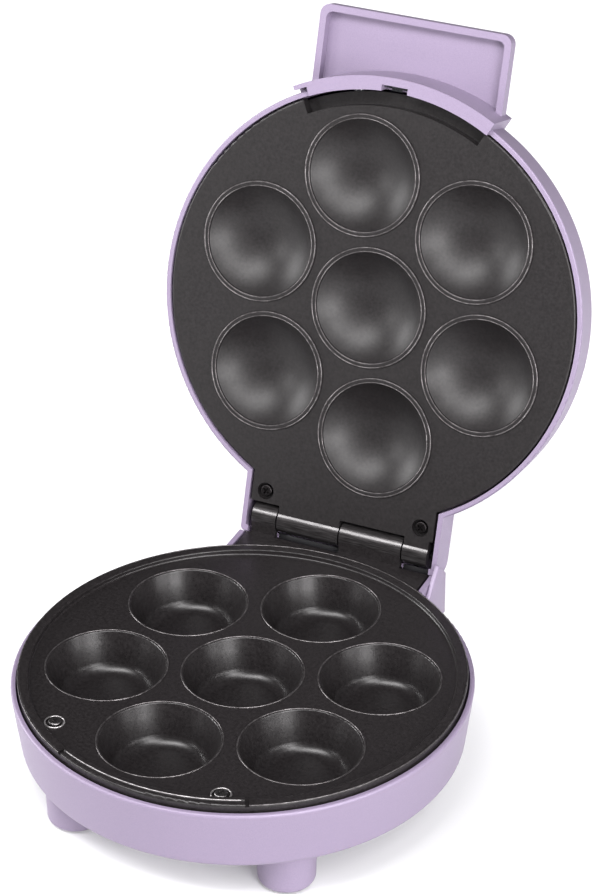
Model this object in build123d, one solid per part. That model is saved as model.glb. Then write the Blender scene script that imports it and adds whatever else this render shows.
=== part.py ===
from build123d import *
import math
import os

# Seven cup cupcake maker, standing open. Millimetres, +Z up, hinge at the back (+Y), handle at the front.
# Everything is laid out closed, about the upright axis of the round base, with z = 0 at the plane where the
# two plates meet. The lid is then swung open about the hinge, and the whole is moved to its origin, which
# is under the middle of the open machine.

# main sizes: the plates drive the housings, the hinge, the feet and the handle
PLATE_R = 95.0           # outside radius of both plates
RIM_BAND = 3.0           # how far the rims of the housings stand out round the plates
NECK_X = 44.0            # half width of both necks
TAIL_BAND = 3.4          # how far the tails stand out beside the necks

# housings
BODY_R = PLATE_R + RIM_BAND
WALL = 2.2               # moulded wall
BASE_RIM_Z = -3.6        # top edge of the round base housing
BASE_BOTTOM_Z = -32.0    # underside of the base housing
BASE_DRAFT = 3.5         # the base housing is this much smaller at its bottom edge
BASE_FOOT_R = BODY_R - BASE_DRAFT
BASE_EDGE_R = 3.0        # rounding of that edge
RIM_ROUND = 1.1          # rounding of the rims
LID_DRAFT = 1.8          # the lid housing is this much smaller where its side ends
LID_SIDE_R = BODY_R - LID_DRAFT
LID_SIDE_Z = 23.0        # height where the side ends
LID_TOP_Z = 30.0         # crown of the lid
LID_EDGE_R = 9.0         # rounding between side and crown
TAIL_X = NECK_X + TAIL_BAND
TAIL_START_Y = BODY_R - 38.0    # inside the round body
BASE_TAIL_TOP_Z = -0.8   # top edge of the tail walls of the base
LID_TAIL_TOP_Z = 16.0    # top of the tail of the lid
LID_TAIL_EDGE_R = 6.0    # rounding at the back of the lid tail
TAIL_SIDE_ROUND = 1.6    # rounding along its sides

# hinge
HINGE_OUT = 7.0          # pin axis behind the round rim
HINGE_Y = BODY_R + HINGE_OUT
HINGE_Z = 5.0            # pin axis above the meeting plane
OPEN_ANGLE = 107.0       # how far the lid swings open
KNUCKLE_R = 6.0
KNUCKLE_SHORT = 11.6
KNUCKLE_LONG = 29.6
KNUCKLE_GAP = 0.8
PIN_R = 2.0
PIN_CLEAR = 0.05         # radial, in every knuckle
PIN_INSET = 0.4          # pin end inside the outer knuckle face
NOTCH_GAP = 1.2          # round a knuckle in the neck it doesn't belong to
TAIL_END_R = 9.2         # back face of the lid tail, from the pin axis
TAIL_CLEAR = 0.4         # base tail to the turning lid tail
STOP_GAP = 0.25          # lid tail to the stop ledge when open
LEDGE_BACK = 1.5         # back face of the base tail behind the pin axis

# plates
PLATE_T = 2.2
SKIRT_T = 2.4
LOWER_SKIRT_Z = -6.8
UPPER_SKIRT_Z = 5.0
EDGE_ROUND = 1.0
RING_W = 4.6             # raised rim of the lower plate
RIM_Z = -0.3             # its top: the plates stay this far apart when closed
FLOOR_Z = -2.7           # cup surface
NECK_START_Y = PLATE_R - 15.0
LOWER_NECK_Z = -1.0
LOWER_NECK_T = 3.0
UPPER_NECK_T = 4.0
CUP_BAND = 7.1           # flat left between an outer cup and the rim
CUP_COUNT = 6            # round the middle one
PATTERN_TURN = -10.6     # the pattern is turned against the hinge line
CUP_MOUTH_R = 25.3
CUP_SPACING = PLATE_R - RING_W - CUP_MOUTH_R - CUP_BAND
CUP_BOTTOM_R = 19.2
CUP_DEPTH = 17.0
CUP_WALL = 2.1
CUP_BOTTOM_ROUND = 6.0
CUP_MOUTH_ROUND = 0.8
DOME_MOUTH_R = 24.4
DOME_DEPTH = 10.5
LIP_R = 26.8             # outside of the lip round a dome
LIP_W = 1.9
LIP_H = 0.6
TONGUE_H = 1.4           # front tongue on the lower rim
TONGUE_R = PLATE_R - 1.7
TONGUE_W = 2.4
TONGUE_HALF = 25.7       # degrees either side of the front
POCKET_DEPTH = 5.5       # pocket for it in the upper plate
POCKET_HALF = 26.6
POCKET_W = 6.6
RING_NOTCH_W = 1.6

# screws
SCREW_R = 1.5
SCREW_CLEAR = 0.1
HEAD_R = 2.8
HEAD_H = 1.7
HEAD_SINK = 2.1          # depth of the hole the head lies in
HEAD_HOLE_R = 3.9
SCREW_L = 9.0
CROSS_W = 0.8
CROSS_L = 3.2
CROSS_DEPTH = 0.9
PLATE_SCREW_R = PLATE_R - 10.0  # from the axis, on the lower plate
NECK_SCREW_X = NECK_X - 6.5
NECK_SCREW_Y = HINGE_Y - 12.5
BOSS_R = 3.9

# feet
FOOT_R = 12.0
FOOT_TOP_R = 12.6
FOOT_H = 19.4
FOOT_ROUND = 3.2
PAD_R = 8.5
PAD_T = 1.6
PAD_SUNK = 1.0
FRONT_FOOT = (BODY_R - 49.5, 36.0 - BODY_R)
BACK_FOOT = (TAIL_X - 14.4, HINGE_Y - 31.0)

# handle
COLLAR_BAND = 3.6        # how far the collar stands out from the rim of the lid
COLLAR_R = BODY_R + COLLAR_BAND
COLLAR_HALF = 27.4       # degrees either side of the front
COLLAR_WALL = 2.0        # outer wall that runs on past the cut back left end
COLLAR_NOTCH = 3.4       # degrees of that end
COLLAR_NOTCH_Z = 6.0     # how deep it is cut back
COLLAR_LOW_Z = -2.8      # the collar laps over the edge of the rim
HANDLE_OUT = 24.4        # length of the paddle beyond the collar
HANDLE_X = 44.4          # half width
HANDLE_Y = -COLLAR_R - HANDLE_OUT
HANDLE_LIP_Z = 12.4      # underside of the lip
HANDLE_TOP_Z = 19.6
HANDLE_SKIN = 2.4
HANDLE_LIP_W = 3.0
HANDLE_CORNER_R = 4.5
SLOT_X = 6.0             # half width of the catch slot in the rim of the lid
SLOT_Z = 4.5
CLIP_T = 0.8
CLIP_GAP = 0.15
HANDLE_SCREW_TURN = 13.0
HANDLE_SCREW_Z = 12.0
HANDLE_SCREW_L = 4.4

# inside
ELEMENT_R = 2.5
ELEMENT_RING_R = CUP_SPACING / 2
ELEMENT_LEG = 2.9        # each leg beside the middle line
ELEMENT_LEG_END = PLATE_R - 13.0
ELEMENT_PIN = 6.0        # bare end of a leg
ELEMENT_SEAT = 0.05
RIB_Z = -14.5            # underside of the rib that carries the lower element
UPPER_RIB_Z = 5.6        # back of the rib that carries the upper one
RIB_W = 6.0
ELEMENT_PROUD = 0.9      # element axis beyond its rib
REFLECTOR_T = 0.6
REFLECTOR_R = PLATE_R - 11.0
REFLECTOR_CLEAR = 1.6
LOWER_REFLECTOR_Z = BASE_BOTTOM_Z + 5.4
UPPER_REFLECTOR_Z = 15.0
POST_R = 3.0
POST_RING_R = PLATE_R - 27.0
STAT_R = 8.0
STAT_H = 4.2
FUSE_R = 2.2
FUSE_L = 12.0
FUSE_RING_R = REFLECTOR_R - 24.0
BLOCK = (24.0, 11.0, 9.0)
BLOCK_Y = HINGE_Y - 11.0
LEAD_R = 1.1
LEAD_OUT = 4.8           # straight run of a lead from the end of its leg
LEAD_STEP = 2.2          # the left hand lead runs this much further out, the right hand one this much less
LEAD_RISE = 5.0          # straight run of a lead up from the block
LEAD_BEND = 2.0
GLAND_R = 4.4
GLAND_FLANGE_R = 6.4
GLAND_FLANGE_T = 1.6
GLAND_BORE_R = 3.0
GLAND_CLEAR = 0.1
GLAND_X = 26.0
GLAND_Z = -22.0
LENS_R = 3.0
LENS_CLEAR = 0.1
LENS_X = 9.0
LENS_Y = 42.0 - BODY_R
LENS_PROUD = 0.9
HOLDER = (30.0, 12.0, 3.0)
HOLDER_Z = 22.0          # top of the lamp holder

# origin
BASE_AXIS_Y = -44.07      # base axis in front of the middle of the open machine
STAND_Z = FOOT_H - BASE_BOTTOM_Z + PAD_T - PAD_SUNK  # meeting plane above the surface it stands on

FRONT = -90.0
CUP_ANGLES = [90.0 + PATTERN_TURN + i * 360.0 / CUP_COUNT for i in range(CUP_COUNT)]
CUP_POINTS = [(0.0, 0.0)]
for a in CUP_ANGLES:
    CUP_POINTS.append((CUP_SPACING * math.cos(math.radians(a)), CUP_SPACING * math.sin(math.radians(a))))
GAP_ANGLES = [a + 180.0 / CUP_COUNT for a in CUP_ANGLES]
LEG_ANGLE = GAP_ANGLES[0]
FUSE_ANGLE = GAP_ANGLES[-1]
PLATE_SCREW_ANGLES = [GAP_ANGLES[2] - 360.0, GAP_ANGLES[3] - 360.0]

PLACE = Pos(0, BASE_AXIS_Y, STAND_Z)
HINGE = Pos(0, HINGE_Y, HINGE_Z)
OPEN = PLACE * HINGE * Rot(-OPEN_ANGLE, 0, 0) * HINGE.inverse()

PARTS = {}


def polar(radius, degrees, z=0.0):
    return (radius * math.cos(math.radians(degrees)), radius * math.sin(math.radians(degrees)), z)


def turned(points, rounds=None, start=0.0, sweep_angle=360.0):
    # a body turned about the upright axis from (radius, height) points, with the corners in rounds rounded
    face = make_face(Polyline(*points, close=True))
    for index, radius in (rounds or {}).items():
        r, z = points[index]
        corner = face.vertices().sort_by_distance((r, z, 0))[0]
        face = fillet(corner, radius)
    return Rot(0, 0, start) * revolve(Plane.XZ * face, Axis.Z, sweep_angle)


def rod(radius, z0, z1, x=0.0, y=0.0):
    return Pos(x, y, (z0 + z1) / 2) * Cylinder(radius, z1 - z0)


def block(x0, x1, y0, y1, z0, z1):
    return Pos((x0 + x1) / 2, (y0 + y1) / 2, (z0 + z1) / 2) * Box(x1 - x0, y1 - y0, z1 - z0)


def along_x(radius, x0, x1, y=0.0, z=0.0):
    return Pos((x0 + x1) / 2, y, z) * Rot(0, 90, 0) * Cylinder(radius, x1 - x0)


def sector(r0, r1, z0, z1, middle, half):
    # a piece of a flat ring, half degrees either side of the middle
    outer = CenterArc((0, 0), r1, middle - half, 2 * half)
    inner = CenterArc((0, 0), r0, middle - half, 2 * half)
    sides = [Line(inner @ 0, outer @ 0), Line(inner @ 1, outer @ 1)]
    face = make_face([outer, inner] + sides)
    return Pos(0, 0, z0) * extrude(face, z1 - z0)


def screw(length):
    # cross head screw, head up, its bearing face at z = 0
    body = rod(HEAD_R, 0, HEAD_H) + rod(SCREW_R, -length, 0)
    body = fillet(body.edges().filter_by(GeomType.CIRCLE).group_by(Axis.Z)[-1], 0.7)
    for turn in (45, 135):
        body -= Rot(0, 0, turn) * block(-CROSS_L / 2, CROSS_L / 2, -CROSS_W / 2, CROSS_W / 2,
                                        HEAD_H - CROSS_DEPTH, HEAD_H + 1)
    return body


def keep(name, shape, place):
    PARTS[name] = place * shape


# knuckles along the pin
HINGE_HALF = KNUCKLE_SHORT + KNUCKLE_LONG + 1.5 * KNUCKLE_GAP
K1 = (-HINGE_HALF, -HINGE_HALF + KNUCKLE_SHORT)
K2 = (K1[1] + KNUCKLE_GAP, K1[1] + KNUCKLE_GAP + KNUCKLE_LONG)
K3 = (K2[1] + KNUCKLE_GAP, K2[1] + KNUCKLE_GAP + KNUCKLE_LONG)
K4 = (K3[1] + KNUCKLE_GAP, K3[1] + KNUCKLE_GAP + KNUCKLE_SHORT)


def neck_with_knuckles(own, other, z0, z1, foot_up):
    # a flat neck from the plate to the pin: it runs up to its own knuckles and is notched round the others
    own_end = HINGE_Y - 0.6 * KNUCKLE_R
    notch_y = HINGE_Y - KNUCKLE_R - NOTCH_GAP
    neck = block(-NECK_X, NECK_X, NECK_START_Y, own_end, z0, z1)
    side = PIN_R
    for x0, x1 in other:
        left = -NECK_X - 1 if x0 < K1[0] + 1 else x0 - KNUCKLE_GAP
        right = NECK_X + 1 if x1 > K4[1] - 1 else x1 + KNUCKLE_GAP
        neck -= block(left, right, notch_y, HINGE_Y, z0 - 1, z1 + 1)
    for x0, x1 in own:
        pedestal = block(x0, x1, HINGE_Y - KNUCKLE_R, HINGE_Y - side,
                         HINGE_Z - KNUCKLE_R, HINGE_Z) if foot_up else block(
                             x0, x1, HINGE_Y - KNUCKLE_R - 1, HINGE_Y - side, z0, z1)
        neck += pedestal
        neck += along_x(KNUCKLE_R, x0, x1, HINGE_Y, HINGE_Z)
    # the outer ends stop level with the outer knuckles
    neck -= block(-NECK_X - 1, K1[0], notch_y, HINGE_Y + 20, z0 - 9, HINGE_Z + 20)
    neck -= block(K4[1], NECK_X + 1, notch_y, HINGE_Y + 20, z0 - 9, HINGE_Z + 20)
    return neck


PIN_HOLE = along_x(PIN_R + PIN_CLEAR, -HINGE_HALF - 5, HINGE_HALF + 5, HINGE_Y, HINGE_Z)

# lower plate
ring_in = PLATE_R - RING_W
under = FLOOR_Z - PLATE_T
pan = turned([(0, FLOOR_Z), (ring_in, FLOOR_Z), (ring_in, RIM_Z), (PLATE_R, RIM_Z), (PLATE_R, LOWER_SKIRT_Z),
              (PLATE_R - SKIRT_T, LOWER_SKIRT_Z), (PLATE_R - SKIRT_T, under), (0, under)],
             {1: 0.8, 2: 0.6, 3: EDGE_ROUND})
slope = (CUP_MOUTH_R - CUP_BOTTOM_R) / CUP_DEPTH
cup_floor = FLOOR_Z - CUP_DEPTH
outer_top_r = CUP_MOUTH_R + CUP_WALL
outer_low_r = CUP_BOTTOM_R + CUP_WALL - slope * CUP_WALL / 2
cup_body = turned([(0, FLOOR_Z - 0.5), (outer_top_r - 0.5 * slope, FLOOR_Z - 0.5),
                   (outer_low_r, cup_floor - CUP_WALL), (0, cup_floor - CUP_WALL)],
                  {2: CUP_BOTTOM_ROUND + 0.6})
cup_tool = turned([(0, 1), (CUP_MOUTH_R + 3, 1), (CUP_MOUTH_R + 3, FLOOR_Z), (CUP_MOUTH_R, FLOOR_Z),
                   (CUP_BOTTOM_R, cup_floor), (0, cup_floor)], {3: CUP_MOUTH_ROUND, 4: CUP_BOTTOM_ROUND})
lower_neck = neck_with_knuckles([K1, K3], [K2, K4], LOWER_NECK_Z - LOWER_NECK_T, LOWER_NECK_Z, True)
lower_neck -= rod(PLATE_R - 1.0, -50, 50)
rib = turned([(ELEMENT_RING_R - RIB_W / 2, under + 0.5), (ELEMENT_RING_R + RIB_W / 2, under + 0.5),
              (ELEMENT_RING_R + RIB_W / 2, RIB_Z), (ELEMENT_RING_R - RIB_W / 2, RIB_Z)])
element_z = RIB_Z - ELEMENT_PROUD
groove = Pos(0, 0, element_z) * Torus(ELEMENT_RING_R, ELEMENT_R + ELEMENT_SEAT)
leg_way = Rot(0, 0, LEG_ANGLE) * block(ELEMENT_RING_R, ELEMENT_RING_R + 6, -ELEMENT_LEG - ELEMENT_R - 0.3,
                                       ELEMENT_LEG + ELEMENT_R + 0.3, element_z - 5,
                                       element_z + ELEMENT_R + 0.3)
tongue_top = RIM_Z + TONGUE_H
tongue = turned([(TONGUE_R - TONGUE_W, RIM_Z - 1), (TONGUE_R, RIM_Z - 1), (TONGUE_R, tongue_top),
                 (TONGUE_R - TONGUE_W, tongue_top)], {2: 0.7, 3: 0.7}, FRONT - TONGUE_HALF, 2 * TONGUE_HALF)
plate = pan + rib + lower_neck + tongue
for x, y in CUP_POINTS:
    plate += Pos(x, y, 0) * cup_body
plate -= groove
plate -= leg_way
for x, y in CUP_POINTS:
    plate -= Pos(x, y, 0) * cup_tool
for end in (-1, 1):
    notch_angle = FRONT + end * (TONGUE_HALF + 0.6)
    notch = block(ring_in - 2, PLATE_R + 1, -RING_NOTCH_W / 2, RING_NOTCH_W / 2, RIM_Z - 0.9, 2)
    plate -= Rot(0, 0, notch_angle) * notch
for angle in PLATE_SCREW_ANGLES:
    sx, sy, _ = polar(PLATE_SCREW_R, angle)
    plate -= rod(HEAD_HOLE_R, FLOOR_Z - 0.7, 1, sx, sy)
    plate -= rod(SCREW_R + SCREW_CLEAR, under - 1, 1, sx, sy)
plate -= PIN_HOLE
keep("lower_plate", plate, PLACE)

# upper plate
sphere_r = (DOME_MOUTH_R ** 2 + DOME_DEPTH ** 2) / (2 * DOME_DEPTH)
sphere_z = DOME_DEPTH - sphere_r


def cap(radius, z_low):
    # the part of a ball about the dome's centre that lies above z_low
    top = sphere_z + radius
    edge = math.sqrt(radius ** 2 - (z_low - sphere_z) ** 2)
    half_way = (edge / 2, sphere_z + math.sqrt(radius ** 2 - edge ** 2 / 4))
    lines = [Line((0, z_low), (edge, z_low)), ThreePointArc((edge, z_low), half_way, (0, top)),
             Line((0, top), (0, z_low))]
    return revolve(Plane.XZ * make_face(lines), Axis.Z, 360)


disc = turned([(0, 0), (PLATE_R, 0), (PLATE_R, UPPER_SKIRT_Z), (PLATE_R - SKIRT_T, UPPER_SKIRT_Z),
               (PLATE_R - SKIRT_T, PLATE_T), (0, PLATE_T)], {1: EDGE_ROUND})
lip = turned([(LIP_R - LIP_W, 0.3), (LIP_R, 0.3), (LIP_R, -LIP_H), (LIP_R - LIP_W, -LIP_H)], {2: 0.5, 3: 0.5})
upper_rib = turned([(ELEMENT_RING_R - RIB_W / 2, PLATE_T - 0.5), (ELEMENT_RING_R + RIB_W / 2, PLATE_T - 0.5),
                    (ELEMENT_RING_R + RIB_W / 2, UPPER_RIB_Z), (ELEMENT_RING_R - RIB_W / 2, UPPER_RIB_Z)])
upper_element_z = UPPER_RIB_Z + ELEMENT_PROUD
dome_body = cap(sphere_r + PLATE_T, 0.4)
dome_tool = cap(sphere_r, 0.0) + rod(DOME_MOUTH_R, -2, 0.01)
pocket_in = PLATE_R - POCKET_W
upper_neck = neck_with_knuckles([K2, K4], [K1, K3], 0, UPPER_NECK_T, False)
upper_neck -= rod(PLATE_R - 1.0, -50, 50)
plate = disc + upper_neck
plate += sector(pocket_in - 2.2, PLATE_R - 1, PLATE_T - 0.4, PLATE_T + POCKET_DEPTH, FRONT, POCKET_HALF + 1.6)
plate += upper_rib
for x, y in CUP_POINTS:
    plate += Pos(x, y, 0) * dome_body
    plate += Pos(x, y, 0) * lip
plate -= Pos(0, 0, upper_element_z) * Torus(ELEMENT_RING_R, ELEMENT_R + ELEMENT_SEAT)
leg_low = upper_element_z - ELEMENT_R - 0.3
plate -= Rot(0, 0, LEG_ANGLE) * block(ELEMENT_RING_R, ELEMENT_RING_R + 6, -ELEMENT_LEG - ELEMENT_R - 0.3,
                                      ELEMENT_LEG + ELEMENT_R + 0.3, leg_low, leg_low + 10)
for x, y in CUP_POINTS:
    plate -= Pos(x, y, 0) * dome_tool
plate -= sector(pocket_in, PLATE_R + 2, -1, POCKET_DEPTH, FRONT, POCKET_HALF)
for side in (-1, 1):
    plate -= rod(HEAD_HOLE_R, -1, HEAD_SINK, side * NECK_SCREW_X, NECK_SCREW_Y)
    plate -= rod(SCREW_R + SCREW_CLEAR, -1, 10, side * NECK_SCREW_X, NECK_SCREW_Y)
plate -= PIN_HOLE
keep("upper_plate", plate, OPEN)

# hinge pin
pin_half = HINGE_HALF - PIN_INSET
pin = along_x(PIN_R, -pin_half, pin_half, HINGE_Y, HINGE_Z)
pin = chamfer(pin.edges().filter_by(GeomType.CIRCLE), 0.4)
keep("hinge_pin", pin, PLACE)


# lid housing
def crown_z(radius, inset=0.0):
    # height of the gently domed top of the lid, a ball whose middle is on the axis
    side_r = LID_SIDE_R - inset
    rise = LID_TOP_Z - LID_SIDE_Z
    ball = (side_r ** 2 + rise ** 2) / (2 * rise)
    return LID_TOP_Z - inset - ball + math.sqrt(ball ** 2 - radius ** 2)


def lid_round(inset):
    side_r = LID_SIDE_R - inset
    crown = LID_TOP_Z - inset
    low = 0.0 if inset == 0 else -1.0
    mid = (side_r / 2, crown_z(side_r / 2, inset))
    lines = [Line((0, low), (BODY_R - inset, low)), Line((BODY_R - inset, low), (side_r, LID_SIDE_Z - inset)),
             ThreePointArc((side_r, LID_SIDE_Z - inset), mid, (0, crown)), Line((0, crown), (0, low))]
    face = make_face(lines)
    corner = face.vertices().sort_by_distance((side_r, LID_SIDE_Z - inset, 0))[0]
    face = fillet(corner, LID_EDGE_R - inset)
    return revolve(Plane.XZ * face, Axis.Z, 360)


def lid_tail(inset):
    # side view of the tail, drawn as (back, up), with its back face TAIL_END_R behind the pin axis
    r = TAIL_END_R - inset
    top = LID_TAIL_TOP_Z - inset
    low = 0.0 if inset == 0 else -1.0
    round_r = LID_TAIL_EDGE_R - inset
    y_low = HINGE_Y + math.sqrt(r ** 2 - (HINGE_Z - low) ** 2)
    angle = math.degrees(math.asin((low - HINGE_Z) / r))
    arc = CenterArc((HINGE_Y, HINGE_Z), r, angle, -angle)
    corner = (HINGE_Y + r - round_r, top - round_r)
    top_arc = CenterArc(corner, round_r, 0, 90)
    lines = [Line((TAIL_START_Y, low), (y_low, low)), arc, Line(arc @ 1, top_arc @ 0), top_arc,
             Line(top_arc @ 1, (TAIL_START_Y, top)), Line((TAIL_START_Y, top), (TAIL_START_Y, low))]
    width = TAIL_X - inset
    tail = Pos(-width, 0, 0) * extrude(Plane.YZ * make_face(lines), 2 * width)
    if inset == 0:
        sides = [e for e in tail.edges() if abs(abs(e.center().X) - width) < 0.01]
        tail = fillet([e for e in sides if e.center().Z > top - round_r and e.center().Y > TAIL_START_Y + 1],
                      TAIL_SIDE_ROUND)
    return tail


# the handle screws bear on flat spots inside the side wall
HANDLE_SEAT_R = BODY_R - WALL - (BODY_R - LID_SIDE_R) * HANDLE_SCREW_Z / LID_SIDE_Z
shell = lid_round(0) + lid_tail(0)
shell -= lid_round(WALL)
shell -= lid_tail(WALL)
posts = []
for side in (-1, 1):
    posts.append(rod(BOSS_R, UPPER_NECK_T, LID_TAIL_TOP_Z - WALL / 2, side * NECK_SCREW_X, NECK_SCREW_Y))
for i in range(0, CUP_COUNT, 2):
    px, py, _ = polar(POST_RING_R, GAP_ANGLES[i] + 6)
    posts.append(rod(POST_R, UPPER_REFLECTOR_Z + REFLECTOR_T, LID_TOP_Z - 5.0, px, py))
for post in posts:
    shell += post
# the back wall of the tail is open below the pin, where the knuckles of the lower plate come through
shell -= block(-NECK_X, NECK_X, HINGE_Y + 2, HINGE_Y + TAIL_END_R + 2, -2, HINGE_Z)
for side in (-1, 1):
    hole = rod(SCREW_R + SCREW_CLEAR, UPPER_NECK_T - 1, UPPER_NECK_T + SCREW_L)
    shell -= Pos(side * NECK_SCREW_X, NECK_SCREW_Y, 0) * hole
    shell -= rod(LENS_R + LENS_CLEAR, 20, 40, side * LENS_X, LENS_Y)
    toward = Rot(0, 0, FRONT + side * HANDLE_SCREW_TURN) * Pos(0, 0, HANDLE_SCREW_Z)
    shell -= toward * Pos(BODY_R, 0, 0) * Rot(0, 90, 0) * Cylinder(SCREW_R + SCREW_CLEAR, 8)
    shell -= toward * Pos(HANDLE_SEAT_R - 1.5, 0, 0) * Rot(0, 90, 0) * Cylinder(HEAD_R + 0.4, 3)
shell -= block(-SLOT_X, SLOT_X, -BODY_R - 1, -BODY_R + WALL + 2, -1, SLOT_Z)
shell = fillet(shell.edges().filter_by(GeomType.CIRCLE).group_by(Axis.Z)[0].filter_by(
    lambda e: abs(e.radius - BODY_R) < 0.01), 0.7)
keep("lid_shell", shell, OPEN)

# handle with its collar
root = sector(BODY_R - 6, COLLAR_R, 0, HANDLE_TOP_Z, FRONT, COLLAR_HALF)
# its front face laps over the edge of the rim and stops just clear of the plate
root += sector(PLATE_R + 0.5, COLLAR_R, COLLAR_LOW_Z, 0.5, FRONT, COLLAR_HALF)
edge_y = HANDLE_Y
root_y = -BODY_R + 12.0
tray_face = make_face(Polyline((-HANDLE_X, edge_y), (HANDLE_X, edge_y),
                               (HANDLE_X, root_y), (-HANDLE_X, root_y), close=True))
corners = tray_face.vertices().group_by(Axis.Y)[0]
tray_face = fillet(corners, HANDLE_CORNER_R)
tray = Pos(0, 0, HANDLE_LIP_Z) * extrude(tray_face, HANDLE_TOP_Z - HANDLE_LIP_Z)
hollow_x = HANDLE_X - HANDLE_LIP_W
hollow_y = edge_y + HANDLE_LIP_W
hollow_face = make_face(Polyline((-hollow_x, hollow_y), (hollow_x, hollow_y),
                                 (hollow_x, root_y + 2), (-hollow_x, root_y + 2), close=True))
hollow_face = fillet(hollow_face.vertices().group_by(Axis.Y)[0], HANDLE_CORNER_R - 1.5)
hollow = Pos(0, 0, HANDLE_LIP_Z - 20) * extrude(hollow_face, HANDLE_TOP_Z - HANDLE_SKIN - HANDLE_LIP_Z + 20)
hollow -= rod(COLLAR_R, -50, 50)
tray = fillet(tray.edges().group_by(Axis.Z)[-1], 2.0)
handle = tray + root
handle -= hollow
handle -= lid_round(0)
handle -= rod(PLATE_R - 4, -50, 50)
handle -= block(-SLOT_X, SLOT_X, -BODY_R, -PLATE_R + 4, COLLAR_LOW_Z - 1, 1)
# the left end of the front face is cut back, and only the outer wall runs on there
handle -= sector(PLATE_R - 4, COLLAR_R - COLLAR_WALL, COLLAR_LOW_Z - 1, COLLAR_LOW_Z + COLLAR_NOTCH_Z,
                 FRONT - COLLAR_HALF + COLLAR_NOTCH / 2 - 1, COLLAR_NOTCH / 2 + 1)
for side in (-1, 1):
    place = Pos(*polar(BODY_R, FRONT + side * HANDLE_SCREW_TURN, HANDLE_SCREW_Z)) * Rot(
        0, 0, FRONT + side * HANDLE_SCREW_TURN) * Rot(0, 90, 0)
    handle -= place * Cylinder(SCREW_R + SCREW_CLEAR, 1.6 * COLLAR_BAND)
keep("lid_handle", handle, OPEN)

# catch clip in the rim slot
clip = block(-SLOT_X + CLIP_GAP, SLOT_X - CLIP_GAP, -BODY_R + 0.6, -BODY_R + 0.6 + CLIP_T, 0.6, SLOT_Z)
clip += block(-2.4, 2.4, -BODY_R + 0.6, -BODY_R + 2.4, 0.6, 0.6 + CLIP_T)
keep("catch_clip", clip, OPEN)

# base housing


def base_round(inset):
    low = BASE_BOTTOM_Z + inset
    top = BASE_RIM_Z if inset == 0 else 5.0
    points = [(0, low), (BASE_FOOT_R - inset, low), (BODY_R - inset, BASE_RIM_Z), (BODY_R - inset, top),
              (0, top)]
    if inset == 0:
        points.pop(3)
        return turned(points, {1: BASE_EDGE_R, 2: RIM_ROUND})
    return turned(points, {1: BASE_EDGE_R - inset * 0.6})


def base_tail(inset):
    low = BASE_BOTTOM_Z + inset
    top = BASE_TAIL_TOP_Z if inset == 0 else 5.0
    body = block(-TAIL_X + inset, TAIL_X - inset, TAIL_START_Y, HINGE_Y + LEDGE_BACK - inset, low, top)
    upright = body.edges().filter_by(Axis.Z).group_by(Axis.Y)[-1]
    body = fillet(upright, 4.0 - inset)
    bottom = body.edges().group_by(Axis.Z)[0].filter_by(lambda e: e.center().Y > TAIL_START_Y + 1)
    return fillet(bottom, BASE_EDGE_R - inset * 0.6)


shell = base_round(0) + base_tail(0)
shell -= base_round(WALL)
shell -= base_tail(WALL)
# room for the plate where the tail walls rise beside it
shell -= rod(BODY_R - WALL, BASE_RIM_Z, 5)
clear = along_x(TAIL_END_R + TAIL_CLEAR, -TAIL_X - 1, TAIL_X + 1, HINGE_Y, HINGE_Z)
ledge_cut = HINGE * Rot(-OPEN_ANGLE, 0, 0) * block(-TAIL_X - 1, TAIL_X + 1, 0, TAIL_END_R + STOP_GAP, 0, 16)
shell -= clear
shell -= ledge_cut
for angle in PLATE_SCREW_ANGLES:
    bx, by, _ = polar(PLATE_SCREW_R, angle)
    shell += rod(BOSS_R, BASE_BOTTOM_Z + WALL / 2, under, bx, by)
    shell -= rod(SCREW_R + SCREW_CLEAR, under - SCREW_L, under + 1, bx, by)
for i in range(0, CUP_COUNT, 2):
    px, py, _ = polar(POST_RING_R, GAP_ANGLES[i] + 6)
    shell += rod(POST_R, BASE_BOTTOM_Z + WALL / 2, LOWER_REFLECTOR_Z, px, py)
shell -= Pos(GLAND_X, HINGE_Y, GLAND_Z) * Rot(90, 0, 0) * Cylinder(GLAND_R + GLAND_CLEAR, 20)
keep("base_shell", shell, PLACE)

# feet and pads
foot = turned([(0, BASE_BOTTOM_Z - FOOT_H), (FOOT_R, BASE_BOTTOM_Z - FOOT_H), (FOOT_TOP_R, BASE_BOTTOM_Z),
               (0, BASE_BOTTOM_Z)], {1: FOOT_ROUND})
foot_floor = BASE_BOTTOM_Z - FOOT_H
foot -= rod(PAD_R + 0.1, foot_floor - 1, foot_floor + PAD_SUNK)
pad = rod(PAD_R, foot_floor + PAD_SUNK - PAD_T, foot_floor + PAD_SUNK)
for name, (fx, fy) in (("front", FRONT_FOOT), ("back", BACK_FOOT)):
    for side, word in ((-1, "left"), (1, "right")):
        keep(f"foot_{name}_{word}", Pos(side * fx, fy, 0) * foot, PLACE)
        keep(f"pad_{name}_{word}", Pos(side * fx, fy, 0) * pad, PLACE)

# plate and handle screws
for angle, word in zip(PLATE_SCREW_ANGLES, ("left", "right")):
    sx, sy, _ = polar(PLATE_SCREW_R, angle)
    keep(f"plate_screw_{word}", Pos(sx, sy, FLOOR_Z - 0.7) * Rot(0, 0, 20) * screw(SCREW_L), PLACE)
for side, word in ((-1, "left"), (1, "right")):
    body = Rot(0, 0, 12) * screw(SCREW_L)
    head = Pos(side * NECK_SCREW_X, NECK_SCREW_Y, HEAD_SINK) * Rot(180, 0, 0)
    keep(f"neck_screw_{word}", head * body, OPEN)
    seat = Pos(*polar(HANDLE_SEAT_R, FRONT + side * HANDLE_SCREW_TURN, HANDLE_SCREW_Z)) * Rot(
        0, 0, FRONT + side * HANDLE_SCREW_TURN) * Rot(0, -90, 0)
    keep(f"handle_screw_{word}", seat * screw(HANDLE_SCREW_L), OPEN)


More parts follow.
